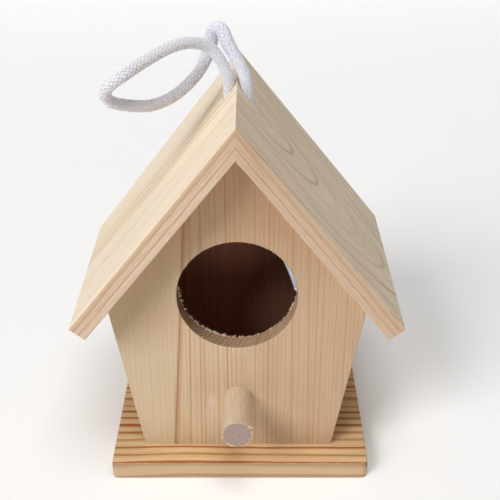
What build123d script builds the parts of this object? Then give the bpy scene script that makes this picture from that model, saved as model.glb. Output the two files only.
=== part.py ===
"""A small pitched-roof birdhouse of thin pine boards, with a round entrance, a perch and a hanging cord.

Millimetres, +Z up, the front faces -Y, and the origin is the middle of the base's underside.
Every board, the perch, the pins, the cord, its knot and its two tails are separate solids.
"""
from build123d import *
import math
import os

os.makedirs("parts", exist_ok=True)

# ---------------------------------------------------------------- driving dimensions
BOARD = 6.3  # thickness of every board
RIDGE_HEIGHT = 126.0  # top of the ridge above the base's underside
ROOF_HALF_WIDTH = 52.0  # centre line to the outer eave edge
ROOF_PITCH = 51.7  # degrees
ROOF_FRONT = 38.6  # ridge's front end, ahead of the middle
ROOF_BACK = 40.0  # ridge's back end, behind the middle
LEFT_EAVE_BACK = 33.0  # the left board's back edge is sawn out of square
RIGHT_EAVE_BACK = 43.0  # and so is the right board's, the other way

BODY_DEPTH = 53.0  # outer face of the front wall to outer face of the back wall
BODY_FOOT_WIDTH = 63.6  # width of the walls where they stand on the base
WALL_FLARE = 0.18  # each side runs outwards this much per millimetre of height

BASE_WIDTH = 86.0
BASE_DEPTH = 73.0
BASE_SHIFT = 0.7  # the base is nailed on slightly to the right of the walls' middle

ENTRANCE_DIAMETER = 38.5
ENTRANCE_HEIGHT = 65.0  # centre above the base's underside
PERCH_DIAMETER = 9.5
PERCH_HEIGHT = 25.8
PERCH_REACH = 19.6  # how far the perch stands out of the front wall

CORD_DIAMETER = 3.9
CORD_HOLE_DIAMETER = 4.3
CORD_HOLES = {-1: (-2.45, 3.0), 1: (3.2, 0.8)}  # x and y of the upright holes, left and right of the ridge
KNOT_PLACE = (0.3, 1.9)  # x and y of its middle
KNOT_DIAMETER = 14.0
KNOT_TOP = 103.0
KNOT_HEIGHT = 11.0
KNOT_ROUNDING = 1.4

PIN_DIAMETER = 0.64
PIN_LENGTH = 15.0
PIN_SET = 1.0  # each pin is punched this far below the surface, and its mouth is filled flush
PIN_PLAY = 0.02  # radial room round a pin

EDGE = 0.5  # sanded edges of the roof boards and the base
FINE_EDGE = 0.3  # sanded edges of the walls, the entrance and the perch
BASE_CORNERS = {(-1, -1): 1.6, (1, -1): 2.4, (-1, 1): 1.0, (1, 1): 1.0}  # by x side and y side

# ---------------------------------------------------------------- worked out from them
SLOPE = math.radians(ROOF_PITCH)
RISE = math.tan(SLOPE)  # fall of the roof per millimetre outwards
UNDER_APEX = RIDGE_HEIGHT - BOARD / math.cos(SLOPE)  # where the two undersides meet
EAVE_HEIGHT = RIDGE_HEIGHT - RISE * ROOF_HALF_WIDTH
HALF_DEPTH = BODY_DEPTH / 2
INNER_DEPTH = HALF_DEPTH - BOARD
HALF_FOOT = BODY_FOOT_WIDTH / 2
SIDE_SLICE = BOARD * math.hypot(1, WALL_FLARE)  # a side wall's thickness measured level


def under_roof(foot):
    """Where a wall line that starts at the given half width on the base meets the roof's underside."""
    x = (foot + WALL_FLARE * (UNDER_APEX - BOARD)) / (1 + WALL_FLARE * RISE)
    return x, UNDER_APEX - RISE * x


def prism(outline, front, back):
    """A solid with the given (x, z) outline, from y = front to y = back."""
    corners = [Vector(x, front, z) for x, z in outline]
    face = make_face(Polyline(*corners, close=True))
    return extrude(face, amount=back - front, dir=(0, 1, 0))


def mirrored(points):
    return [(-x, z) for x, z in points]


def rod(start, direction, length, diameter):
    """A round bar from a point along a direction."""
    return Plane(origin=start, z_dir=direction) * Cylinder(
        diameter / 2, length, align=(Align.CENTER, Align.CENTER, Align.MIN)
    )


def write(solids, node):
    """Writes one node, from a solid or from a group of separate solids."""
    shape = solids if isinstance(solids, (Solid, Part)) else Compound(children=solids)
    export_step(shape, f"parts/{node}.step")


# ---------------------------------------------------------------- pins
def pin_and_hole(mouth, inward):
    """A headless pin driven in below a point on a surface, and the hole it made under the filler."""
    inward = Vector(*inward).normalized()
    head = Vector(*mouth) + inward * PIN_SET
    pin = rod(head, inward, PIN_LENGTH, PIN_DIAMETER)
    hole = rod(head, inward, PIN_LENGTH, PIN_DIAMETER + 2 * PIN_PLAY)
    return pin, hole


WALL_MIDDLE = HALF_DEPTH - BOARD / 2  # the gable walls' mid planes, in front and behind
END_WALL_PIN_X = 22.0
SIDE_WALL_PIN_X = HALF_FOOT - BOARD / 2 + 0.8
SIDE_WALL_PIN_Y = 10.0
ROOF_PIN_STATIONS = (26.0, 57.5)  # down the slope from the ridge

base_pin_spots = [
    (x, y) for x in (-END_WALL_PIN_X, END_WALL_PIN_X) for y in (-WALL_MIDDLE, WALL_MIDDLE)
] + [(x, y) for x in (-SIDE_WALL_PIN_X, SIDE_WALL_PIN_X) for y in (-SIDE_WALL_PIN_Y, SIDE_WALL_PIN_Y)]
base_pins = [pin_and_hole((x, y, 0), (0, 0, 1)) for x, y in base_pin_spots]


def roof_pins(side):
    """The pins of one roof board, square to it: two into each gable wall. side is -1 or 1."""
    inward = (-side * math.sin(SLOPE), 0, -math.cos(SLOPE))
    spots = [(s, y) for s in ROOF_PIN_STATIONS for y in (-WALL_MIDDLE, WALL_MIDDLE)]
    return [
        pin_and_hole(
            (side * s * math.cos(SLOPE), y, RIDGE_HEIGHT - s * math.sin(SLOPE)), inward
        )
        for s, y in spots
    ]


left_roof_pins = roof_pins(-1)
right_roof_pins = roof_pins(1)
all_pins = base_pins + left_roof_pins + right_roof_pins
pin_holes = [hole for _, hole in all_pins]


# ---------------------------------------------------------------- boards
def base_board():
    """The floor: a flat board under the walls, with its upright corners sanded round."""
    board = Pos(BASE_SHIFT, 0, 0) * Box(
        BASE_WIDTH, BASE_DEPTH, BOARD, align=(Align.CENTER, Align.CENTER, Align.MIN)
    )
    for (x_side, y_side), radius in BASE_CORNERS.items():
        corner = board.edges().filter_by(Axis.Z).sort_by_distance(
            (BASE_SHIFT + x_side * BASE_WIDTH / 2, y_side * BASE_DEPTH / 2, BOARD / 2)
        )[0]
        board = fillet(corner, radius)
    rims = board.faces().sort_by(Axis.Z)[0].outer_wire().edges()
    rims += board.faces().sort_by(Axis.Z)[-1].outer_wire().edges()
    return fillet(rims, EDGE) - pin_holes


def gable_outline():
    """The front and back walls: a foot, two flared sides and a point that fits under the roof."""
    shoulder = under_roof(HALF_FOOT)
    right = [(HALF_FOOT, BOARD), shoulder]
    return right + [(0, UNDER_APEX)] + mirrored(right)[::-1]


def flared_edges(wall, outer_y):
    """A gable wall's two slanting edges on its outer face."""
    return wall.edges().filter_by(
        lambda e: abs(e.center().Y - outer_y) < 1e-6
        and HALF_FOOT < abs(e.center().X) < under_roof(HALF_FOOT)[0]
        and BOARD + 1 < e.center().Z < under_roof(HALF_FOOT)[1]
    )


def front_wall():
    """The gable wall with the round entrance and the perch's hole."""
    wall = prism(gable_outline(), -HALF_DEPTH, -INNER_DEPTH)
    wall = fillet(flared_edges(wall, -HALF_DEPTH), FINE_EDGE)
    for height, diameter in ((ENTRANCE_HEIGHT, ENTRANCE_DIAMETER), (PERCH_HEIGHT, PERCH_DIAMETER)):
        wall -= rod((0, -HALF_DEPTH - 1, height), (0, 1, 0), BOARD + 2, diameter)
    rim = wall.edges().filter_by(GeomType.CIRCLE).filter_by(
        lambda e: abs(e.radius - ENTRANCE_DIAMETER / 2) < 1e-6 and abs(e.center().Y + HALF_DEPTH) < 1e-6
    )
    return fillet(rim, FINE_EDGE) - pin_holes


def back_wall():
    """The plain gable wall behind."""
    wall = prism(gable_outline(), INNER_DEPTH, HALF_DEPTH)
    return fillet(flared_edges(wall, HALF_DEPTH), FINE_EDGE) - pin_holes


def side_wall(side):
    """A leaning wall between the gables, its top bevelled to lie under the roof. side is -1 or 1."""
    outline = [
        (HALF_FOOT - SIDE_SLICE, BOARD),
        (HALF_FOOT, BOARD),
        under_roof(HALF_FOOT),
        under_roof(HALF_FOOT - SIDE_SLICE),
    ]
    if side < 0:
        outline = mirrored(outline)
    return prism(outline, -INNER_DEPTH, INNER_DEPTH) - pin_holes


def cord_hole(side):
    """The upright hole by the ridge that one strand of the cord goes down."""
    return rod((*CORD_HOLES[side], KNOT_TOP), (0, 0, 1), RIDGE_HEIGHT - KNOT_TOP, CORD_HOLE_DIAMETER)


def roof_board(side, eave_back):
    """One slope of the roof, mitred at the ridge. side is -1 or 1."""
    eave = (side * ROOF_HALF_WIDTH, EAVE_HEIGHT)
    under_eave = (
        side * (ROOF_HALF_WIDTH - BOARD * math.sin(SLOPE)),
        EAVE_HEIGHT - BOARD * math.cos(SLOPE),
    )
    longest = max(ROOF_BACK, eave_back) + BOARD
    outline = [(0, RIDGE_HEIGHT), eave, under_eave, (0, UNDER_APEX)]
    board = prism(outline, -ROOF_FRONT, longest)
    sawn = Vector(-side * (eave_back - ROOF_BACK), ROOF_HALF_WIDTH, 0).normalized()
    board = split(board, bisect_by=Plane(origin=(0, ROOF_BACK, 0), z_dir=sawn), keep=Keep.BOTTOM)
    away_from_mitre = board.edges().filter_by(lambda e: abs(e.center().X) > EDGE)
    return fillet(away_from_mitre, EDGE) - cord_hole(side) - pin_holes


def perch():
    """A hardwood dowel through the front wall, its inner end flush."""
    start = (0, -HALF_DEPTH - PERCH_REACH, PERCH_HEIGHT)
    bar = rod(start, (0, 1, 0), PERCH_REACH + BOARD, PERCH_DIAMETER)
    return chamfer(bar.edges().filter_by(GeomType.CIRCLE).sort_by(Axis.Y)[0], FINE_EDGE)


# ---------------------------------------------------------------- cord
# The loop's route: up out of the left hole, over to the left, round its end, back behind, up over
# a hump and down the right hole. Both ends stop on the knot inside.
LOOP_ROUTE = [
    (-2.45, 3.0, 103.0),
    (-2.45, 3.0, 110.2),
    (-2.5, 3.05, 117.6),
    (-2.4, 3.0, 124.8),
    (-3.2, 1.9, 129.0),
    (-5.0, -0.2, 133.8),
    (-7.9, -3.2, 138.6),
    (-12.5, -8.0, 141.6),
    (-18.3, -13.0, 142.0),
    (-25.5, -17.8, 139.2),
    (-32.6, -20.4, 135.1),
    (-38.6, -20.2, 130.9),
    (-38.2, -16.6, 125.9),
    (-32.4, -11.0, 122.7),
    (-26.2, -5.6, 120.7),
    (-20.0, 0.4, 121.7),
    (-14.6, 5.5, 125.0),
    (-10.6, 9.0, 129.7),
    (-9.4, 11.0, 135.0),
    (-8.9, 10.9, 138.8),
    (-7.2, 10.0, 141.5),
    (-4.8, 8.6, 141.7),
    (-3.1, 7.1, 139.3),
    (-1.5, 5.6, 135.8),
    (0.5, 4.0, 132.0),
    (2.2, 2.4, 128.8),
    (3.2, 0.9, 124.8),
    (3.25, 0.75, 117.6),
    (3.2, 0.8, 110.2),
    (3.2, 0.8, 103.0),
]
# The tails hang from the knot inside the chamber, the right one just behind the entrance's edge.
RIGHT_TAIL_ROUTE = [
    (3.2, 0.8, 92.0),
    (3.2, 0.8, 85.4),
    (8.6, -5.0, 79.0),
    (15.6, -10.2, 72.6),
    (19.0, -12.0, 65.4),
    (20.9, -12.2, 59.2),
]
LEFT_TAIL_ROUTE = [
    (-2.45, 3.0, 92.0),
    (-2.45, 3.0, 86.0),
    (-7.2, 6.2, 80.6),
    (-14.4, 9.2, 76.8),
    (-22.4, 10.8, 74.2),
]


def tube(route, name):
    """A round cord along straight runs joined by arcs as large as the runs allow."""
    points = [Vector(*p) for p in route]
    runs = [b - a for a, b in zip(points, points[1:])]
    radii = []
    for before, after in zip(runs, runs[1:]):
        half_turn = math.radians(before.get_angle(after)) / 2
        radii.append(0.45 * min(before.length, after.length) / math.tan(half_turn))
    path = FilletPolyline(*points, radius=radii)
    start = Plane(origin=path @ 0, z_dir=path % 0)
    solid = sweep(start * Circle(CORD_DIAMETER / 2), path=path)
    ideal = math.pi * CORD_DIAMETER**2 / 4 * path.length
    print(name, "length %.1f" % path.length, "volume / ideal %.4f" % (solid.volume / ideal))
    print("   runs ", ["%.1f" % run.length for run in runs])
    print("   radii", ["%.1f" % radius for radius in radii])
    return solid


def knot():
    """Both ends tied in one stopper knot under the ridge."""
    lump = rod((*KNOT_PLACE, KNOT_TOP - KNOT_HEIGHT), (0, 0, 1), KNOT_HEIGHT, KNOT_DIAMETER)
    return fillet(lump.edges().filter_by(GeomType.CIRCLE), KNOT_ROUNDING)


# ---------------------------------------------------------------- nodes
write(base_board(), "base_board")
write(front_wall(), "front_wall")
write(back_wall(), "back_wall")
write(side_wall(-1), "left_wall")
write(side_wall(1), "right_wall")
write(roof_board(-1, LEFT_EAVE_BACK), "left_roof_board")
write(roof_board(1, RIGHT_EAVE_BACK), "right_roof_board")
write(perch(), "perch_dowel")
write([pin for pin, _ in base_pins], "base_pins")
write([pin for pin, _ in left_roof_pins], "left_roof_pins")
write([pin for pin, _ in right_roof_pins], "right_roof_pins")
write(tube(LOOP_ROUTE, "hanging_cord"), "hanging_cord")
write(knot(), "cord_knot")
write(tube(RIGHT_TAIL_ROUTE, "right_cord_tail"), "right_cord_tail")
write(tube(LEFT_TAIL_ROUTE, "left_cord_tail"), "left_cord_tail")
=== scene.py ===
"""Looks of the small pine birdhouse: its wood, its braided cotton cord, the light and the camera."""
import math
import random

import bpy
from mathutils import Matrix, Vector


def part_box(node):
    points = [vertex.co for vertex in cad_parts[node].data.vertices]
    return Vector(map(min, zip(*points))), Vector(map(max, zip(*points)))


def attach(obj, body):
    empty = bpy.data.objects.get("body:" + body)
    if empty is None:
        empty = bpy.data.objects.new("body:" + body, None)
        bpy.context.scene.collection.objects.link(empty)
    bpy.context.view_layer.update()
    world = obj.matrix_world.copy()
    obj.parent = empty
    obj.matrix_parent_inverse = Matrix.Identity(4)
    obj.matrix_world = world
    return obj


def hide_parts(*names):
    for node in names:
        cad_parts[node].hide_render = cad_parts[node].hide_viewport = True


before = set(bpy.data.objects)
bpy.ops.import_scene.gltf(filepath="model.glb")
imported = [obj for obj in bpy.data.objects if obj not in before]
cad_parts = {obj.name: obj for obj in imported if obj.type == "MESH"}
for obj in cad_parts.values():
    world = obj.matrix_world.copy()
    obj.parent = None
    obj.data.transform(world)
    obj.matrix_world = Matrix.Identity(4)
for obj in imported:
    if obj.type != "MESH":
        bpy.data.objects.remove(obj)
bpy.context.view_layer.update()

MM = 0.001
X, Y, Z = (1, 0, 0), (0, 1, 0), (0, 0, 1)  # to the right, to the back and up


# ---------------------------------------------------------------- places, in metres
ROOF_LOW, ROOF_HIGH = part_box("left_roof_board")
FRONT_LOW, FRONT_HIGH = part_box("front_wall")
BACK_LOW, BACK_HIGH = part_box("back_wall")
BASE_LOW, BASE_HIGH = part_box("base_board")
PERCH_LOW, PERCH_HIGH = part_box("perch_dowel")
KNOT_LOW, KNOT_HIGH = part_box("cord_knot")

RIDGE = Vector((0, 0, ROOF_HIGH.z))
ROOF_FRONT_Y = ROOF_LOW.y
FRONT_FACE_Y, FRONT_INNER_Y = FRONT_LOW.y, FRONT_HIGH.y
BACK_FACE_Y, BACK_INNER_Y = BACK_HIGH.y, BACK_LOW.y
BASE_TOP = BASE_HIGH.z
PERCH_END_Y = PERCH_LOW.y
PERCH_RADIUS = (PERCH_HIGH.x - PERCH_LOW.x) / 2
PERCH_Z = (PERCH_LOW.z + PERCH_HIGH.z) / 2

# Driving sizes that a box doesn't show, as they are in the CAD.
PITCH = math.radians(51.7)
WALL_LEAN = 0.18  # the side walls run outwards this much for each unit of height
FOOT_HALF_WIDTH = 31.8 * MM  # the walls where they stand on the base
ENTRANCE_CENTRE_Z = 65.0 * MM
ENTRANCE_RADIUS = 19.25 * MM
CORD_DIAMETER = 3.9 * MM

# The marks on the wood are placed in millimetres.
BOARD = (BASE_HIGH.z - BASE_LOW.z) / MM
CHAMBER_HALF_DEPTH = BACK_INNER_Y / MM
CHAMBER_HALF_WIDTH = FOOT_HALF_WIDTH / MM - BOARD  # at the floor
BORE_RADIUS = ENTRANCE_RADIUS / MM


# ---------------------------------------------------------------- shader building
def tone(red, green, blue):
    """A display colour, each part from 0 to 255, as the linear colour that shaders take."""
    parts = [value / 255 for value in (red, green, blue)]
    return (*[p / 12.92 if p <= 0.04045 else ((p + 0.055) / 1.055) ** 2.4 for p in parts], 1.0)


class Wire:
    """A value in a shader: a number, a vector or a colour. Arithmetic on it adds Math nodes."""

    def __init__(self, shader, socket):
        self.shader, self.socket = shader, socket

    def math(self, operation, *others):
        return self.shader.math(operation, self, *others)

    def __add__(self, other):
        return self.math("ADD", other)

    def __radd__(self, other):
        return self.math("ADD", other)

    def __sub__(self, other):
        return self.math("SUBTRACT", other)

    def __rsub__(self, other):
        return self.shader.math("SUBTRACT", other, self)

    def __mul__(self, other):
        return self.math("MULTIPLY", other)

    def __truediv__(self, other):
        return self.math("DIVIDE", other)

    def __abs__(self):
        return self.math("ABSOLUTE")


class Shader:
    """One node material under construction. Places in it are in millimetres."""

    def __init__(self, name):
        self.material = bpy.data.materials.new(name)
        self.material.use_nodes = True
        self.tree = self.material.node_tree
        self.surface = self.tree.nodes["Principled BSDF"]
        self.coordinates = self.add("ShaderNodeTexCoord")

    def add(self, kind, **settings):
        """A new node with those settings."""
        node = self.tree.nodes.new(kind)
        for key, value in settings.items():
            setattr(node, key, value)
        return node

    def feed(self, socket, value):
        """Links a wire to an input, or sets the input to a plain value."""
        if isinstance(value, Wire):
            self.tree.links.new(value.socket, socket)
        else:
            socket.default_value = value

    def math(self, operation, *values):
        """One Math node over wires and plain numbers."""
        node = self.add("ShaderNodeMath", operation=operation)
        for socket, value in zip(node.inputs, values):
            self.feed(socket, value)
        return Wire(self, node.outputs[0])

    def dot(self, output, vector):
        """A texture coordinate's part along a vector."""
        node = self.add("ShaderNodeVectorMath", operation="DOT_PRODUCT")
        self.tree.links.new(self.coordinates.outputs[output], node.inputs[0])
        node.inputs[1].default_value = vector
        return Wire(self, node.outputs["Value"])

    def along(self, direction, origin=(0, 0, 0)):
        """Millimetres along a direction from an origin that is given in metres."""
        direction = Vector(direction)
        return self.dot("Object", direction / MM) - direction.dot(Vector(origin)) / MM

    def facing(self, direction):
        """How much the surface faces either way along a direction, from 0 to 1."""
        return abs(self.dot("Normal", direction))

    def vector(self, x, y, z):
        """Three values as a place for noise."""
        node = self.add("ShaderNodeCombineXYZ")
        for socket, value in zip(node.inputs, (x, y, z)):
            self.feed(socket, value)
        return Wire(self, node.outputs[0])

    def noise(self, place, detail=2.0, roughness=0.5):
        """Noise about 0.5, one feature for each unit of place."""
        node = self.add("ShaderNodeTexNoise")
        self.feed(node.inputs["Vector"], place)
        node.inputs["Scale"].default_value = 1.0
        node.inputs["Detail"].default_value = detail
        node.inputs["Roughness"].default_value = roughness
        return Wire(self, node.outputs["Fac"])

    def chance(self, value):
        """A steady random number from 0 to 1 for each value."""
        node = self.add("ShaderNodeTexWhiteNoise", noise_dimensions="1D")
        self.feed(node.inputs["W"], value)
        return Wire(self, node.outputs["Value"])

    def smooth(self, value, low, high, start=0.0, end=1.0):
        """Goes smoothly from start to end as the value goes from low to high."""
        node = self.add("ShaderNodeMapRange", interpolation_type="SMOOTHSTEP")
        for name, given in (
            ("Value", value), ("From Min", low), ("From Max", high), ("To Min", start), ("To Max", end)
        ):
            self.feed(node.inputs[name], given)
        return Wire(self, node.outputs["Result"])

    def mix(self, share, first, second):
        """The second colour over the first, as much as share says."""
        node = self.add("ShaderNodeMix", data_type="RGBA")
        self.feed(node.inputs[0], share)
        self.feed(node.inputs[6], first)
        self.feed(node.inputs[7], second)
        return Wire(self, node.outputs[2])

    def brightened(self, colour, gain):
        """The colour times a gain about 1."""
        node = self.add("ShaderNodeVectorMath", operation="SCALE")
        self.feed(node.inputs[0], colour if isinstance(colour, Wire) else colour[:3])
        self.feed(node.inputs["Scale"], gain)
        return Wire(self, node.outputs[0])

    def done(self, colour, roughness, height, depth):
        """Wires up the surface. depth is how deep a height from 0 to 1 goes, in metres."""
        bump = self.add("ShaderNodeBump")
        bump.inputs["Distance"].default_value = depth
        self.feed(bump.inputs["Height"], height)
        self.feed(self.surface.inputs["Base Color"], colour)
        self.feed(self.surface.inputs["Roughness"], roughness)
        self.tree.links.new(bump.outputs["Normal"], self.surface.inputs["Normal"])
        return self.material


# ---------------------------------------------------------------- wood
def growth_rings(shader, u, v, w, pith, spacing, lean, waviness, rise):
    """How dark the latewood is at each place, and how dark the faint lines between the rings are."""
    drift = (shader.noise(shader.vector(u / 70, v / 26, w / 26), 1.0) - 0.5) * (3.2 * waviness)
    ripple = (shader.noise(shader.vector(u / 16, v / 5, w / 5), 2.0) - 0.5) * (0.7 * waviness)
    side = v - pith[0] + u * lean[0] + drift
    deep = w - pith[1] + u * lean[1] + drift * 0.6
    distance = (side * side + deep * deep).math("SQRT") + ripple
    uneven = (shader.noise(shader.vector(distance / (spacing * 2.3), 0.0, 0.0), 1.0) - 0.5) * 1.5
    rings = distance / spacing + uneven

    def lines(rings, start):
        part = rings.math("FRACT")
        return shader.smooth(part, start, 0.88) - shader.smooth(part, 0.92, 1.0)

    fading = shader.noise(shader.vector(u / 22, rings * 0.9, 0.0), 1.0) * 0.7 + 0.65
    strength = (shader.chance(rings.math("FLOOR")) * 0.75 + 0.25) * fading
    latewood = (lines(rings, rise) * strength).math("MINIMUM", 1.0)
    faint_rings = rings * 3.0 + 0.4
    faint = lines(faint_rings, 0.4) * shader.chance(faint_rings.math("FLOOR"))
    return latewood, faint


def pine(
    name, grain, across, out, origin, pith, spacing, early, late,
    lean=(0.0, 0.0), contrast=0.7, waviness=1.0, rise=0.45, extra=None,
):
    """Solid pine: growth rings about a pith line, so every face of the board shows its own cut.

    grain, across and out are the board's length, width and outer-face directions. pith is how far the
    pith lies across and out from the origin, in millimetres, lean is how it drifts along the grain, and
    spacing is the rings' distance. rise is where in a ring its dark latewood starts, from 0 to 1.
    extra(shader, u, v, w, colour) returns the colour with marks of its own.
    """
    shader = Shader(name)
    u = shader.along(grain, origin)
    v = shader.along(across, origin)
    w = shader.along(out, origin)
    end_grain = shader.smooth(shader.facing(grain), 0.6, 0.95)
    sanded_edge = shader.smooth(
        shader.facing(grain).math("MAXIMUM", shader.facing(across)).math("MAXIMUM", shader.facing(out)),
        0.80, 0.985, 1, 0,
    )

    latewood, faint = growth_rings(shader, u, v, w, pith, spacing, lean, waviness, rise)
    fibres = shader.noise(shader.vector(u / 9, v * 2.6, w * 2.6), 3.0, 0.6)
    hairlines = shader.noise(shader.vector(u / 4.0, v * 6.0, w * 6.0), 2.0, 0.6)
    blotches = shader.noise(shader.vector(u / 34, v / 7, w / 7), 2.0)
    canals = shader.smooth(shader.noise(shader.vector(u / 2.4, v * 5.0, w * 5.0), 1.0), 0.68, 0.76)

    colour = shader.mix(latewood * contrast, early, late)
    colour = shader.mix(faint * 0.20 * contrast, colour, late)
    colour = shader.brightened(colour, (fibres - 0.5) * 0.22 + (hairlines - 0.5) * 0.20 + 1.0)
    colour = shader.brightened(colour, (blotches - 0.5) * 0.16 + 1.0)
    colour = shader.mix(shader.smooth(blotches, 0.62, 0.38) * 0.10, colour, late)
    colour = shader.mix(canals * 0.28, colour, late)
    colour = shader.mix(end_grain * (latewood * 0.70 + 0.16), colour, tone(118, 80, 52))
    worn = shader.noise(shader.vector(u / 2.5, v / 1.5, w / 1.5), 3.0)
    colour = shader.mix(sanded_edge * shader.smooth(worn, 0.35, 0.75) * 0.28, colour, tone(226, 206, 178))
    colour = shader.mix(sanded_edge * shader.smooth(worn, 0.62, 0.40) * 0.18, colour, tone(138, 102, 70))
    if extra:
        colour = extra(shader, u, v, w, colour)
    roughness = 0.62 - latewood * 0.10 + (fibres - 0.5) * 0.20 + sanded_edge * 0.05
    height = fibres * 0.45 + hairlines * 0.25 + latewood * 0.30 - canals * 0.25
    shader.surface.inputs["Specular IOR Level"].default_value = 0.35
    return shader.done(colour, roughness, height, 0.05 * MM)


def spot(shader, u, v, centre, size, soft):
    """A round mark with a ragged outline on a board, from 1 in the middle to 0 outside."""
    du = (u - centre[0]) / size[0]
    dv = (v - centre[1]) / size[1]
    ragged = (shader.noise(shader.vector(u / 1.6, v / 1.6, 0.0), 2.0) - 0.5) * 0.9
    return shader.smooth((du * du + dv * dv).math("SQRT") + ragged, 1.0, 1.0 - soft)


def streaks(shader, u, v, lines):
    """Stronger lines along the grain, added up. Each has its place, lean, half width and strength."""
    total = 0.0
    for place, lean, half_width, strength in lines:
        aside = abs(v - u * lean - place)
        total = shader.smooth(aside, half_width, half_width * 0.15) * strength + total
    return total


# Painted shade: the red-brown that darkens the unlit chamber's inner faces.
CHAMBER_SHADE_BROWN = tone(206, 142, 112)
STREAK_WIDTH = 1.8  # millimetres


def painted_chamber_shade(shader, colour, mask, bright=1.0):
    """The chamber's inner faces, where mask is 1: painted shade, the wood darkened to red-brown, with faint
    upright streaks.
    """
    x, y = shader.along(X), shader.along(Y)
    upright = shader.noise(shader.vector(x / STREAK_WIDTH, y / STREAK_WIDTH, 0.0), 2.0)
    return shader.mix(mask, colour, shader.brightened(CHAMBER_SHADE_BROWN, (upright * 0.6 + 0.75) * bright))


def entrance_marks(shader, v, w, colour):
    """The bore through the front wall: painted shade at its left, with the hole saw's slanting scratches."""
    height = shader.along(Z, (0, 0, ENTRANCE_CENTRE_Z))
    radius = (v * v + height * height).math("SQRT")
    on_side = shader.smooth(shader.facing(Y), 0.85, 0.5)
    bore = shader.smooth(radius, BORE_RADIUS + 0.6, BORE_RADIUS + 0.2) * on_side
    colour = shader.mix(bore * 0.22, colour, tone(168, 138, 110))
    # Painted shade on the bore's left side.
    colour = shader.mix(bore * shader.smooth(v, -9.0, -18.0) * 0.55, colour, tone(92, 64, 44))
    wander = shader.noise(shader.vector(v / 2.5, w / 2.5, 0.0), 1.0)
    slanting = ((v + w * 0.8) / 1.3 + wander).math("FRACT")
    scratches = shader.smooth(slanting, 0.35, 0.7) - shader.smooth(slanting, 0.85, 1.0)
    return shader.mix(bore * scratches * 0.42, colour, tone(104, 72, 48))


STRIPE_LEAN = 0.063
FRONT_WALL_LINES = (
    (-21.6, STRIPE_LEAN, 1.30, 0.40), (-22.0, STRIPE_LEAN, 0.45, 0.55), (-3.4, 0.0, 0.40, 0.50),
    (18.2, -0.010, 0.45, 0.40), (-12.6, 0.012, 0.40, 0.40), (-16.4, 0.020, 0.50, 0.45),
    (9.6, 0.004, 0.35, 0.35), (24.0, -0.02, 0.50, 0.30),
)


def front_wall_marks(shader, u, v, w, colour):
    """A plain stripe at the left, a strong line beside it, fine lines, painted shade under the roof, a pale
    smudge, the entrance and the chamber's painted shade.
    """
    plain = shader.smooth(v - u * STRIPE_LEAN, -22.3, -23.6)
    colour = shader.mix(plain * 0.70, colour, tone(208, 186, 154))
    warm = shader.smooth(v + u * 0.03, -4.0, 22.0)
    colour = shader.mix(warm * 0.34, colour, tone(186, 148, 118))
    # Painted shade under the left roof's eave, high on the wall's left.
    painted_left_eave_shade = shader.smooth(v, -12.0, -26.0) * shader.smooth(u, 40.0, 62.0)
    colour = shader.mix(painted_left_eave_shade * 0.35, colour, tone(178, 140, 104))
    # Painted shade under the roof, darkening the wall's upper part.
    painted_eave_shade = shader.smooth(u, 66.0, 96.0)
    colour = shader.mix(painted_eave_shade * 0.46, colour, tone(166, 122, 86))
    lines = streaks(shader, u, v, FRONT_WALL_LINES)
    colour = shader.mix(lines.math("MINIMUM", 0.85), colour, tone(166, 112, 66))
    smudge = spot(shader, u, v, (24.5, -8.6), (4.2, 2.3), 0.8)
    colour = shader.mix(smudge * 0.60, colour, tone(216, 190, 170))
    colour = entrance_marks(shader, v, w, colour)
    # Painted shade on the wall's inner face, in the chamber.
    inside = shader.smooth(shader.along(Y, (0, FRONT_INNER_Y, 0)), -0.15, -0.02)
    return painted_chamber_shade(shader, colour, inside)


def back_wall_marks(shader, u, v, w, colour):
    """The inner face, in painted shade that is darker towards its right."""
    # Painted shade on the inner face, halved towards the right.
    inside = shader.smooth(shader.along(Y, (0, BACK_INNER_Y, 0)), 0.15, 0.02)
    return painted_chamber_shade(shader, colour, inside, shader.smooth(v, -4.0, 20.0, 1.0, 0.5))


def side_wall_marks(shader, u, v, w, colour):
    """The inner face, in dark painted shade."""
    # Dark painted shade on the inner face.
    return painted_chamber_shade(shader, colour, shader.smooth(w, 0.7 - BOARD, 0.3 - BOARD), 0.2)


def base_marks(shader, u, v, w, colour):
    """A duller front edge, and the chamber's floor in painted shade."""
    x, y = shader.along(X), shader.along(Y)
    front = shader.smooth(shader.facing(Y), 0.6, 0.9)
    colour = shader.mix(front * 0.58, colour, tone(190, 163, 134))
    between_sides = shader.smooth(abs(x), CHAMBER_HALF_WIDTH + 0.1, CHAMBER_HALF_WIDTH - 0.3)
    between_gables = shader.smooth(abs(y), CHAMBER_HALF_DEPTH + 0.1, CHAMBER_HALF_DEPTH - 0.1)
    # Painted shade on the chamber's floor.
    inside = between_sides * between_gables * shader.smooth(w, -0.6, -0.1)
    return painted_chamber_shade(shader, colour, inside, 0.7)


ROOF_END_LINES = ((-1.5, 0.0, 0.65, 0.36), (-3.9, 0.004, 0.50, 0.48), (-2.8, 0.0, 0.25, 0.16))


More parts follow.
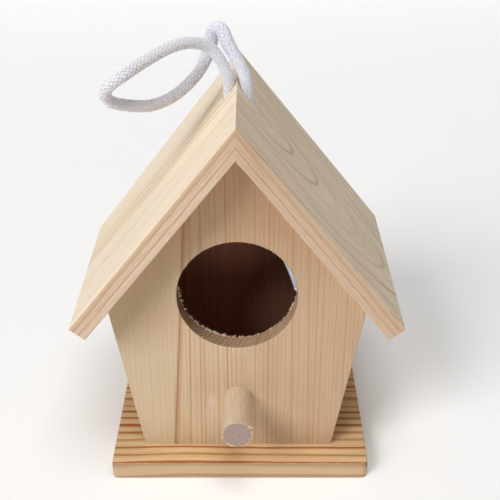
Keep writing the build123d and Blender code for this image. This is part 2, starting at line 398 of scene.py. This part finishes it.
def roof_marks(shader, u, v, w, colour):
    """The tan ends of the board's rings at its front and back, and painted shade on the underside that closes
    the chamber.
    """
    edge = shader.smooth(shader.facing(Y), 0.6, 0.9)
    wander = (shader.noise(shader.vector(u / 30, v / 30, 0.0), 2.0) - 0.5) * 1.1
    layers = shader.noise(shader.vector(u / 7, w * 2.2, v / 30), 3.0, 0.6)
    tan = shader.mix(shader.smooth(layers, 0.3, 0.7), tone(220, 196, 170), tone(202, 174, 148))
    tan = shader.mix(shader.smooth(w + wander, -3.4, -1.0) * 0.40, tan, tone(196, 154, 116))
    tan = shader.mix(streaks(shader, u, w + wander, ROOF_END_LINES), tan, tone(160, 106, 70))
    right_hand = shader.smooth(shader.along(X), -6.0, 10.0)
    near_ridge = shader.smooth(u, 30.0, 6.0)
    tan = shader.mix(right_hand * 0.34 + near_ridge * 0.22, tan, tone(176, 140, 110))
    colour = shader.mix(edge * 0.92, colour, tan)
    # Painted shade on the underside over the chamber.
    between_gables = shader.smooth(abs(v), CHAMBER_HALF_DEPTH + 0.2, CHAMBER_HALF_DEPTH - 0.1)
    underside = shader.smooth(w, 0.5 - BOARD, 0.1 - BOARD)
    over_chamber = between_gables * underside * shader.smooth(u, 64.0, 62.0)
    return painted_chamber_shade(shader, colour, over_chamber)


LEFT_ROOF_LINES = (
    (-5.4, 0.10, 1.10, 0.70), (-1.2, 0.09, 1.20, 0.85), (2.2, 0.08, 0.80, 0.60),
    (6.4, 0.07, 1.30, 0.80), (11.4, 0.06, 0.90, 0.55), (-17.4, 0.03, 0.80, 0.45),
    (20.0, 0.04, 0.80, 0.35), (-28.0, 0.0, 0.70, 0.25),
)


def left_roof_marks(shader, u, v, w, colour):
    """Plain cream with a band of yellow lines, and a grey smudge low on the board."""
    outer = shader.smooth(w, -0.6, -0.2)
    colour = shader.mix(outer * 0.45, colour, tone(244, 228, 206))
    wander = (shader.noise(shader.vector(u / 30, v / 12, 0.0), 2.0) - 0.5) * 2.0
    lines = streaks(shader, u, v + wander, LEFT_ROOF_LINES)
    colour = shader.mix(outer * lines, colour, tone(212, 176, 118))
    smudge = spot(shader, u, v, (69.5, -13.6), (2.2, 1.1), 0.8)
    colour = shader.mix(outer * smudge * 0.40, colour, tone(150, 138, 132))
    return roof_marks(shader, u, v, w, colour)


def roof_wood(name, side, **look):
    """side is -1 for the left board and 1 for the right one."""
    down = Vector((side * math.cos(PITCH), 0, -math.sin(PITCH)))
    out = Vector((side * math.sin(PITCH), 0, math.cos(PITCH)))
    return pine(name, down, Y, out, RIDGE, **look)


def side_wall_wood(name, side, pith):
    """side is -1 for the left wall and 1 for the right one."""
    up = Vector((side * WALL_LEAN, 0, 1)).normalized()
    out = Vector((side, 0, -WALL_LEAN)).normalized()
    foot = Vector((side * FOOT_HALF_WIDTH, 0, BASE_TOP))
    return pine(
        name, up, Y, out, foot, pith=pith, spacing=2.1,
        early=tone(204, 178, 146), late=tone(166, 122, 80), extra=side_wall_marks,
    )


def birch(name):
    """A turned hardwood dowel: fine straight fibres, a sanded side and a duller end."""
    shader = Shader(name)
    x = shader.along(X)
    z = shader.along(Z, (0, 0, PERCH_Z))
    y = shader.along(Y)
    end = shader.smooth(shader.facing(Y), 0.55, 0.95)
    fibres = shader.noise(shader.vector(x * 3.0, y / 7, z * 3.0), 3.0, 0.6)
    flecks = shader.smooth(shader.noise(shader.vector(x * 5.0, y / 1.6, z * 5.0), 1.0), 0.64, 0.74)
    turning = shader.noise(shader.vector(y * 2.4, 0.0, 0.0), 2.0)
    pores = shader.noise(shader.vector(x * 1.7, z * 1.7, 0.0), 4.0, 0.75)
    bands = shader.noise(shader.vector((x * 0.5 + z * 0.87) * 1.1, (z * 0.5 - x * 0.87) / 5, 0.0), 2.0)

    side_colour = shader.mix(shader.smooth(fibres, 0.35, 0.7), tone(206, 186, 160), tone(192, 168, 142))
    side_colour = shader.mix(flecks * 0.35, side_colour, tone(176, 138, 104))
    end_colour = shader.mix(shader.smooth(pores, 0.30, 0.74), tone(182, 162, 152), tone(134, 112, 102))
    end_colour = shader.mix(shader.smooth(bands, 0.5, 0.7) * 0.35, end_colour, tone(178, 146, 128))
    colour = shader.mix(end, side_colour, end_colour)
    height = fibres * 0.4 + turning * 0.2 + pores * end * 0.8
    shader.surface.inputs["Specular IOR Level"].default_value = 0.35
    return shader.done(colour, 0.56 + end * 0.22 + (fibres - 0.5) * 0.15, height, 0.05 * MM)


def torn_wood(name, base):
    """Fresh splinters: pale fibres."""
    shader = Shader(name)
    x, y, z = (shader.along(axis) for axis in (X, Y, Z))
    fibres = shader.noise(shader.vector(x * 2.0, y * 2.0, z * 2.0), 3.0)
    colour = shader.brightened(base, fibres * 0.5 + 0.75)
    return shader.done(colour, 0.75 + (fibres - 0.5) * 0.2, fibres, 0.04 * MM)


def steel(name):
    """Drawn steel wire: fine scratches along it."""
    shader = Shader(name)
    x, y, z = (shader.along(axis) for axis in (X, Y, Z))
    scratches = shader.noise(shader.vector(x * 6.0, y * 6.0, z * 0.7), 3.0, 0.7)
    colour = shader.mix(scratches, tone(150, 150, 152), tone(196, 196, 200))
    shader.surface.inputs["Metallic"].default_value = 1.0
    return shader.done(colour, 0.30 + scratches * 0.25, scratches, 0.01 * MM)


def cotton(name):
    """Soft white braided cotton with painted cool light towards its right, and random grey-blue flecks of
    painted shade for the deep-lying yarns.
    """
    shader = Shader(name)
    x, y, z = (shader.along(axis) for axis in (X, Y, Z))
    fluff = shader.noise(shader.vector(x * 5.0, y * 5.0, z * 5.0), 3.0, 0.65)
    cloudy = shader.noise(shader.vector(x / 4, y / 4, z / 4), 2.0)
    yarn = shader.add("ShaderNodeNewGeometry")
    own = Wire(shader, yarn.outputs["Random Per Island"])
    # Random grey-blue flecks: painted shade of the deep-lying yarns.
    colour = shader.mix(shader.smooth(fluff, 0.36, 0.60), tone(220, 216, 238), tone(254, 254, 255))
    colour = shader.mix(shader.smooth(cloudy, 0.45, 0.75) * 0.25, colour, tone(230, 222, 226))
    # Painted cool light on the strands at the right.
    cool = shader.smooth(x, -18.0, -4.0)
    colour = shader.mix(cool * 0.6, colour, tone(234, 237, 255))
    colour = shader.brightened(colour, own * 0.10 + 0.92)
    shader.surface.inputs["Specular IOR Level"].default_value = 0.2
    shader.surface.inputs["Sheen Weight"].default_value = 0.05
    shader.surface.inputs["Sheen Roughness"].default_value = 0.6
    shader.surface.inputs["Subsurface Weight"].default_value = 0.5
    shader.surface.inputs["Subsurface Radius"].default_value = (0.9, 0.9, 1.0)
    shader.surface.inputs["Subsurface Scale"].default_value = 0.8 * MM
    return shader.done(colour, 0.88 + (fluff - 0.5) * 0.1, fluff, 0.02 * MM)


def dress(node, material):
    """Gives a CAD node its material."""
    for material_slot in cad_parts[node].material_slots:
        material_slot.material = material


PINE_EARLY = tone(208, 182, 150)
PINE_LATE = tone(166, 118, 74)

dress("front_wall", pine(
    "front_pine", Z, X, (0, -1, 0), (0, FRONT_FACE_Y, 0),
    pith=(-138.0, -58.0), spacing=1.36, early=PINE_EARLY, late=tone(174, 122, 78),
    contrast=0.60, waviness=0.35, rise=0.50, extra=front_wall_marks,
))
dress("back_wall", pine(
    "back_pine", Z, X, Y, (0, BACK_FACE_Y, 0),
    pith=(9.0, -30.0), spacing=3.0, early=PINE_EARLY, late=PINE_LATE,
    lean=(0.02, 0.12), contrast=0.7, rise=0.55, extra=back_wall_marks,
))
dress("left_wall", side_wall_wood("left_side_pine", -1, (12.0, -34.0)))
dress("right_wall", side_wall_wood("right_side_pine", 1, (-40.0, -22.0)))
dress("base_board", pine(
    "base_pine", X, Y, Z, (0, 0, BASE_TOP),
    pith=(-125.0, -98.0), spacing=3.0, early=tone(220, 188, 142), late=tone(164, 98, 48),
    contrast=1.7, waviness=0.8, rise=0.48, extra=base_marks,
))
dress("left_roof_board", roof_wood(
    "left_roof_pine", -1, pith=(-22.0, -56.0), spacing=2.1, early=tone(240, 222, 196),
    late=tone(214, 184, 138), lean=(-0.08, 0.0), contrast=0.6, waviness=0.5, extra=left_roof_marks,
))
dress("right_roof_board", roof_wood(
    "right_roof_pine", 1, pith=(-1.0, -6.2), spacing=5.6, early=tone(228, 209, 184),
    late=tone(176, 140, 100), lean=(0.0, 0.342), contrast=0.62, waviness=1.1, rise=0.78, extra=roof_marks,
))
dress("perch_dowel", birch("perch_birch"))
PIN_STEEL = steel("pin_steel_wire")
for pin_node in ("base_pins", "left_roof_pins", "right_roof_pins"):
    dress(pin_node, PIN_STEEL)


# ---------------------------------------------------------------- meshes
def new_piece(name, corners, faces, material):
    """A smooth mesh object that rides on the house."""
    mesh = bpy.data.meshes.new(name)
    mesh.from_pydata(corners, [], faces)
    mesh.polygons.foreach_set("use_smooth", [True] * len(mesh.polygons))
    mesh.materials.append(material)
    mesh.update()
    piece = bpy.data.objects.new(name, mesh)
    bpy.context.scene.collection.objects.link(piece)
    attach(piece, "root")
    return piece


def skin(rings, corners, faces, capped=True):
    """Adds a tube over rings of equally many points."""
    first, sides = len(corners), len(rings[0])
    for ring in rings:
        corners.extend(ring)
    for level in range(len(rings) - 1):
        for side in range(sides):
            a = first + level * sides + side
            b = first + level * sides + (side + 1) % sides
            faces.append((a, b, b + sides, a + sides))
    if capped:
        faces.append(tuple(first + side for side in reversed(range(sides))))
        faces.append(tuple(first + (len(rings) - 1) * sides + side for side in range(sides)))


# ---------------------------------------------------------------- cord
# Control points in metres. The loop comes out of the left hole, goes round and ends down the right one. Its
# front stretch lies up to 8.2 mm behind the CAD tube as the camera sees it, where the light falls on it as in
# the photo. The tails have the CAD's own routes.
LOOP_ROUTE = [
    (-0.00245, 0.0030, 0.1030),
    (-0.00245, 0.0030, 0.1102),
    (-0.0025, 0.00305, 0.1176),
    (-0.0024, 0.0030, 0.1248),
    (-0.0032, 0.0029, 0.1287),
    (-0.0051, 0.0032, 0.1328),
    (-0.0082, 0.0031, 0.1369),
    (-0.0130, 0.0007, 0.1392),
    (-0.0190, -0.0039, 0.1395),
    (-0.0264, -0.0097, 0.1368),
    (-0.0330, -0.0176, 0.1342),
    (-0.0390, -0.0174, 0.1300),
    (-0.0386, -0.0138, 0.1249),
    (-0.0326, -0.0096, 0.1222),
    (-0.0262, -0.0056, 0.1207),
    (-0.0200, 0.0004, 0.1217),
    (-0.0146, 0.0055, 0.1250),
    (-0.0106, 0.0090, 0.1297),
    (-0.0090, 0.0110, 0.1350),
    (-0.0085, 0.0109, 0.1388),
    (-0.0072, 0.0100, 0.1415),
    (-0.0048, 0.0086, 0.1417),
    (-0.0035, 0.0071, 0.1393),
    (-0.0019, 0.0056, 0.1358),
    (0.0005, 0.0040, 0.1320),
    (0.0022, 0.0024, 0.1288),
    (0.0032, 0.0009, 0.1248),
    (0.00325, 0.00075, 0.1176),
    (0.0032, 0.0008, 0.1102),
    (0.0032, 0.0008, 0.1030),
]
RIGHT_TAIL_ROUTE = [
    (0.0032, 0.0008, 0.0920),
    (0.0032, 0.0008, 0.0854),
    (0.0086, -0.0050, 0.0790),
    (0.0156, -0.0102, 0.0726),
    (0.0190, -0.0120, 0.0654),
    (0.0209, -0.0122, 0.0592),
]
LEFT_TAIL_ROUTE = [
    (-0.00245, 0.0030, 0.0920),
    (-0.00245, 0.0030, 0.0860),
    (-0.0072, 0.0062, 0.0806),
    (-0.0144, 0.0092, 0.0768),
    (-0.0224, 0.0108, 0.0742),
]
BRAID_PITCH = 12.0 * MM  # length in which one yarn goes once round
YARNS_EACH_WAY = 8
YARN_HALF_WIDTH = 0.60 * MM
YARN_HALF_THICKNESS = 0.30 * MM
YARN_WEAVE = 0.13 * MM  # how far a yarn goes in and out as it crosses the others
YARN_RADIUS = CORD_DIAMETER / 2 - YARN_HALF_THICKNESS - YARN_WEAVE
CORE_RADIUS = 1.52 * MM
HAIRS_PER_MILLIMETRE = 5.0
HAIR_ROOT_DEPTH = 0.12 * MM
STEP = 0.30 * MM  # between the yarns' rings
FRAYED_LENGTH = 3.0 * MM
YARN_TRIMS = (0.0, 1.2, 1.6, 2.0)  # how many millimetres short of a frayed end a yarn stops
FOLD_CENTRE = Vector((-0.0060, 0.0093, 0.1368))  # the inside of the tight fold behind the ridge
FOLD_FRONT_Y = 3.0 * MM  # the cord bunches up only behind this
FOLD_DEPTH = 3.0 * MM  # and fully from this much further back
FOLD_REACH = 7.0 * MM  # the swelling fades over this distance from the fold's inside
FOLD_SWELL = 0.32  # how much thicker the cord gets at most


def smooth_line(route):
    """Points along the NURBS spline whose control points are the route's."""
    data = bpy.data.curves.new("route", "CURVE")
    data.dimensions = "3D"
    spline = data.splines.new("NURBS")
    spline.points.add(len(route) - 1)
    for point, place in zip(spline.points, route):
        point.co = (*place, 1)
    spline.order_u = 3
    spline.use_endpoint_u = True
    spline.resolution_u = 24
    holder = bpy.data.objects.new("route", data)
    mesh = bpy.data.meshes.new_from_object(holder)
    line = [vertex.co.copy() for vertex in mesh.vertices]
    bpy.data.meshes.remove(mesh)
    bpy.data.objects.remove(holder)
    bpy.data.curves.remove(data)
    return line


def stations(line, step):
    """Evenly spaced places along a line, each with its distance, tangent and two steady side directions."""
    distances = [0.0]
    for a, b in zip(line, line[1:]):
        distances.append(distances[-1] + (b - a).length)
    total = distances[-1]
    count = max(3, round(total / step))
    places, index = [], 0
    for k in range(count + 1):
        at = total * k / count
        while index < len(line) - 2 and distances[index + 1] < at:
            index += 1
        span = distances[index + 1] - distances[index]
        places.append((at, line[index].lerp(line[index + 1], (at - distances[index]) / span)))
    found = []
    side = None
    for k, (at, place) in enumerate(places):
        ahead = places[min(k + 1, count)][1] - places[max(k - 1, 0)][1]
        tangent = ahead.normalized()
        if side is None:
            side = tangent.orthogonal().normalized()
        side = (side - tangent * side.dot(tangent)).normalized()
        found.append((at, place, tangent, side, tangent.cross(side)))
    return found


def ellipse(centre, first, second, sides):
    """Points round a centre, on an ellipse with the two given half axes."""
    turns = [2 * math.pi * n / sides for n in range(sides)]
    return [centre + first * math.cos(t) + second * math.sin(t) for t in turns]


def turned(first, second, turn):
    """Two directions at right angles, both turned by an angle from the first towards the second."""
    return (
        first * math.cos(turn) + second * math.sin(turn),
        second * math.cos(turn) - first * math.sin(turn),
    )


def bunched(place):
    """Where the cord is folded tight it bunches up inwards: the moved place, and how much it swells."""
    inward = FOLD_CENTRE - place
    behind = min(1.0, max(0.0, (place.y - FOLD_FRONT_Y) / FOLD_DEPTH))
    swell = FOLD_SWELL * behind * math.exp(-(inward.length / FOLD_REACH) ** 2)
    return place + inward.normalized() * (swell * CORD_DIAMETER / 2), 1 + swell


def braid(line, corners, faces, dice, frayed_length=0.0):
    """Yarns that cross over and under each other round a core.

    Where the cord is folded tight they bunch up, and towards a frayed end they spread.
    """
    track = [(at, *bunched(place), *axes) for at, place, *axes in stations(line, STEP)]
    total = track[-1][0]
    core = []
    for _, place, swell, _, side, other in track:
        core.append(ellipse(place, side * (CORE_RADIUS * swell), other * (CORE_RADIUS * swell), 12))
    skin(core, corners, faces)
    turn_rate = 2 * math.pi / BRAID_PITCH
    crossings = 2 * YARNS_EACH_WAY / BRAID_PITCH
    for way in (-1, 1):
        for yarn in range(YARNS_EACH_WAY):
            start = 2 * math.pi * yarn / YARNS_EACH_WAY
            spread = dice.uniform(0.15, 0.9)
            trim, loose = 0.0, 0.0
            if frayed_length:
                trim = dice.choice(YARN_TRIMS) * MM + dice.uniform(0.0, 0.5) * MM
            rings = []
            for at, place, swell, tangent, side, other in track:
                if at > total - trim:
                    break
                outward, around = turned(side, other, way * turn_rate * at + start)
                weave = way * YARN_WEAVE * math.cos(math.pi * crossings * at)
                if frayed_length:
                    loose = max(0.0, (at - total + frayed_length) / frayed_length)
                radius = (YARN_RADIUS + weave) * (1 + spread * loose * loose * 0.6) * swell
                heading = (tangent + around * (way * turn_rate * radius)).normalized()
                flat = heading.cross(outward).normalized()
                rings.append(ellipse(
                    place + outward * radius, flat * (YARN_HALF_WIDTH * swell),
                    outward * YARN_HALF_THICKNESS, 6,
                ))
            skin(rings, corners, faces)


def loose_hairs(line, corners, faces, dice):
    """Cotton hairs that stand a little off the cord."""
    track = stations(line, STEP)
    count = int(track[-1][0] / MM * HAIRS_PER_MILLIMETRE)
    for _ in range(count):
        _, place, tangent, side, other = dice.choice(track[2:-2])
        outward, around = turned(side, other, dice.uniform(0, 2 * math.pi))
        lie = tangent * dice.uniform(-1, 1) + around * dice.uniform(-1, 1)
        length = dice.uniform(0.25, 0.75) * MM
        lift = dice.uniform(0.25, 0.9)
        root = place + outward * (CORD_DIAMETER / 2 - HAIR_ROOT_DEPTH)
        rings = []
        for level, thickness in enumerate((0.020, 0.017, 0.012, 0.005)):
            reach = level / 3
            bend = outward * (lift * reach * (1.2 - 0.4 * reach)) + lie * (0.7 * reach * reach + 0.2 * reach)
            axis = (outward + lie).normalized()
            rings.append(ellipse(
                root + bend * length, axis.orthogonal().normalized() * thickness * MM,
                axis.cross(axis.orthogonal()).normalized() * thickness * MM, 3,
            ))
        skin(rings, corners, faces, capped=False)


COTTON = cotton("cotton_braid")


def braided_cord(name, route, seed, frayed_length=0.0):
    """One stretch of cord as a mesh, and the line that it follows."""
    dice = random.Random(seed)
    line = smooth_line(route)
    corners, faces = [], []
    braid(line, corners, faces, dice, frayed_length)
    loose_hairs(line, corners, faces, dice)
    return new_piece(name, corners, faces, COTTON), line


def length_of(line):
    """The length of the straight runs between a line's points."""
    return sum((b - a).length for a, b in zip(line, line[1:]))


def knot_line():
    """A tight overhand knot: a trefoil inside the knot's box."""
    centre = (KNOT_LOW + KNOT_HIGH) / 2
    half_height = (KNOT_HIGH.z - KNOT_LOW.z) / 2 - CORD_DIAMETER / 2
    ring = ((KNOT_HIGH.x - KNOT_LOW.x) / 2 - CORD_DIAMETER / 2) / 3
    line = []
    steps = 240
    for k in range(steps + 1):
        t = 2 * math.pi * k / steps
        reach = ring * (2 + math.cos(3 * t))
        offset = Vector((reach * math.cos(2 * t), reach * math.sin(2 * t), half_height * math.sin(3 * t)))
        line.append(centre + offset)
    return line


def tied_knot():
    """The knot that keeps both ends of the cord under the ridge."""
    corners, faces = [], []
    braid(knot_line(), corners, faces, random.Random(4))
    knot = new_piece("tied_knot", corners, faces, COTTON)
    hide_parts("cord_knot")
    return knot


def cords():
    """The loop above the ridge, the knot under it and the two frayed tails."""
    knot = tied_knot()
    loop, line = braided_cord("hanging_loop_cord", LOOP_ROUTE, 11)
    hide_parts("hanging_cord")
    length_of(line)
    for name, node, route, seed in (
        ("right_tail_cord", "right_cord_tail", RIGHT_TAIL_ROUTE, 12),
        ("left_tail_cord", "left_cord_tail", LEFT_TAIL_ROUTE, 13),
    ):
        tail, line = braided_cord(name, route, seed, FRAYED_LENGTH)
        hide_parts(node)
        max(0.03, length_of(line))


cords()


# ---------------------------------------------------------------- torn fibres
def clock_directions(degrees):
    """Outwards and around at a place on an upright circle that faces the front. 0 is at the right."""
    return turned(Vector(X), Vector(Z), math.radians(degrees))


def splinter(root, reach, width, thick, corners, faces, dice):
    """A thin tapering sliver from a root along reach, a little crooked."""
    rings = []
    crook = Vector((dice.uniform(-1, 1), dice.uniform(-1, 1), dice.uniform(-1, 1))) * reach.length * 0.12
    for level, taper in ((0.0, 1.0), (0.4, 0.85), (0.75, 0.55), (1.0, 0.12)):
        rings.append(ellipse(
            root + reach * level + crook * level * level, width * taper, thick * taper, 6
        ))
    skin(rings, corners, faces)


def entrance_fibres():
    """What the hole saw tore: fibres along the bore's inner rim, and a few at its outer rim."""
    dice = random.Random(21)
    corners, faces = [], []
    for count, y, low, high, short, long in (
        (96, FRONT_INNER_Y - 0.1 * MM, 180, 275, 0.35, 1.15),
        (44, FRONT_INNER_Y - 0.1 * MM, 275, 350, 0.15, 0.65),
        (34, FRONT_FACE_Y + 0.3 * MM, 40, 150, 0.10, 0.34),
    ):
        for _ in range(count):
            outward, around = clock_directions(dice.uniform(low, high))
            centre = Vector((0, y, ENTRANCE_CENTRE_Z))
            root = centre + outward * (ENTRANCE_RADIUS + 0.1 * MM)
            reach = -outward + around * dice.uniform(-0.5, 0.5) + Vector((0, dice.uniform(-0.3, 0.3), 0))
            splinter(
                root, reach * dice.uniform(short, long) * MM, around * dice.uniform(0.10, 0.34) * MM,
                Vector((0, dice.uniform(0.06, 0.16) * MM, 0)), corners, faces, dice,
            )
    wood = torn_wood("torn_pine", tone(230, 210, 182))
    new_piece("entrance_fibres", corners, faces, wood)


def perch_splinters():
    """The saw-torn rim of the perch's end, with one lifted sliver."""
    dice = random.Random(22)
    corners, faces = [], []
    end = Vector((0, PERCH_END_Y, PERCH_Z))
    for _ in range(46):
        outward, around = clock_directions(dice.uniform(0, 360))
        root = end + outward * (PERCH_RADIUS - 0.22 * MM) + Vector((0, 0.25 * MM, 0))
        reach = outward * dice.uniform(0.15, 0.42) + Vector((0, dice.uniform(-0.42, -0.18), 0))
        splinter(
            root, reach * MM, around * dice.uniform(0.15, 0.45) * MM, outward * 0.08 * MM,
            corners, faces, dice,
        )
    outward, _ = clock_directions(42)
    lifted = end + outward * (PERCH_RADIUS - 0.1 * MM) + Vector((0, 0.4 * MM, 0))
    splinter(
        lifted, Vector((1.9, -0.2, -1.0)) * MM, Vector((0.1, 0.0, 0.22)) * MM, Vector((0, 0.12, 0)) * MM,
        corners, faces, dice,
    )
    wood = torn_wood("torn_birch", tone(232, 206, 176))
    new_piece("perch_splinters", corners, faces, wood)


def mitre_flake():
    """A small flake left by the saw under the right board, beside the mitre."""
    dice = random.Random(23)
    corners, faces = [], []
    down = Vector((math.cos(PITCH), 0, -math.sin(PITCH)))
    under = Vector((-math.sin(PITCH), 0, -math.cos(PITCH)))
    apex = Vector((0, ROOF_FRONT_Y + 0.7 * MM, RIDGE.z - BOARD * MM / math.cos(PITCH)))
    for along, reach, lift in ((1.2, 2.2, 0.25), (2.2, 1.6, 0.18), (0.6, 1.2, 0.30)):
        root = apex + down * along * MM - under * 0.15 * MM
        splinter(
            root, (down * reach + under * lift) * MM, Vector((0, 0.5, 0)) * MM, under * 0.28 * MM,
            corners, faces, dice,
        )
    wood = torn_wood("torn_roof", tone(222, 196, 162))
    new_piece("mitre_flake", corners, faces, wood)


entrance_fibres()
perch_splinters()
mitre_flake()


# ---------------------------------------------------------------- stage, light and camera
HORIZON, OVERHEAD = 0.04, 0.24  # how bright the surround is low down and high up
HIGH_UP = 0.8  # the upward part of a direction, from 0 to 1, at which it is as bright as overhead
HAZE = 0.85  # what is added just above the horizon, so that nothing dark shows past the floor's edge
HAZE_LOW, HAZE_HIGH = 0.02, 0.06  # the upward parts between which the haze fades out
FLOOR_HALF_WIDTH = 3.0
FLOOR_BELOW = 0.2 * MM  # keeps the sheet clear of the base's underside
HOUSE_MIDDLE = Vector((0, 0, 0.06))  # what the lamps stand round

EYE = (0.00403, -0.28864, 0.21830)
LOOKING_DOWN = math.radians(27.535)
FOCAL_LENGTH, SENSOR_WIDTH = 69.07, 36.0


def floor():
    """A large plain pale sheet under the house."""
    mesh = bpy.data.meshes.new("floor")
    half = FLOOR_HALF_WIDTH
    corners = [(-half, -half, 0), (half, -half, 0), (half, half, 0), (-half, half, 0)]
    mesh.from_pydata(corners, [], [(0, 1, 2, 3)])
    material = bpy.data.materials.new("pale_floor")
    material.use_nodes = True
    surface = material.node_tree.nodes["Principled BSDF"]
    surface.inputs["Base Color"].default_value = tone(253, 253, 253)
    surface.inputs["Roughness"].default_value = 0.9
    surface.inputs["Specular IOR Level"].default_value = 0.1
    mesh.materials.append(material)
    sheet = bpy.data.objects.new("floor", mesh)
    sheet.location.z = -FLOOR_BELOW
    bpy.context.scene.collection.objects.link(sheet)


def lamp(name, towards, size, energy, colour, distance=4.0, facing=None):
    """A round soft lamp in a direction from the house. It faces the house or the given direction."""
    data = bpy.data.lights.new(name, "AREA")
    data.shape = "DISK"
    data.size = size
    data.energy = energy
    data.color = colour
    towards = Vector(towards).normalized()
    holder = bpy.data.objects.new(name, data)
    holder.location = HOUSE_MIDDLE + towards * distance
    holder.rotation_euler = Vector(facing or -towards).to_track_quat("-Z", "Y").to_euler()
    bpy.context.scene.collection.objects.link(holder)


def surround():
    """A dim warm world that brightens upwards, with a bright haze just above the horizon."""
    world = bpy.data.worlds.new("studio")
    world.use_nodes = True
    tree = world.node_tree
    background = tree.nodes["Background"]
    place = tree.nodes.new("ShaderNodeTexCoord")
    split = tree.nodes.new("ShaderNodeSeparateXYZ")
    total = tree.nodes.new("ShaderNodeMath")
    tree.links.new(place.outputs["Generated"], split.inputs[0])
    for socket, kind, low, high, start, end in (
        (total.inputs[0], "LINEAR", 0.0, HIGH_UP, HORIZON, OVERHEAD),
        (total.inputs[1], "SMOOTHSTEP", HAZE_LOW, HAZE_HIGH, HAZE, 0.0),
    ):
        ramp = tree.nodes.new("ShaderNodeMapRange")
        ramp.interpolation_type = kind
        ramp.inputs["From Min"].default_value = low
        ramp.inputs["From Max"].default_value = high
        ramp.inputs["To Min"].default_value = start
        ramp.inputs["To Max"].default_value = end
        tree.links.new(split.outputs["Z"], ramp.inputs["Value"])
        tree.links.new(ramp.outputs["Result"], socket)
    tree.links.new(total.outputs[0], background.inputs["Strength"])
    background.inputs["Color"].default_value = (1.0, 0.985, 0.965, 1.0)
    bpy.context.scene.world = world


def lights():
    """A key lamp in front at the left, one behind that lights the floor there, and a wide one overhead."""
    lamp("key", (-0.88, -1.0, 0.97), 2.00, 100.0, (0.985, 0.99, 1.0))
    lamp("behind", (0.0, 1.0, 0.75), 1.20, 20.0, (1.0, 1.0, 1.0), distance=2.0, facing=(0, 0.6, -0.8))
    lamp("overhead", (0.08, -0.26, 0.96), 2.40, 70.0, (1.0, 0.99, 0.98))


def camera():
    """Level from side to side, a little right of the middle, looking down on the front."""
    data = bpy.data.cameras.new("camera")
    data.sensor_width = SENSOR_WIDTH
    data.lens = FOCAL_LENGTH
    eye = bpy.data.objects.new("camera", data)
    eye.location = EYE
    eye.rotation_euler = (math.pi / 2 - LOOKING_DOWN, 0, 0)
    data.clip_start = 0.01
    bpy.context.scene.collection.objects.link(eye)
    bpy.context.scene.camera = eye


floor()
surround()
lights()
camera()
bpy.context.scene.view_settings.view_transform = "Standard"
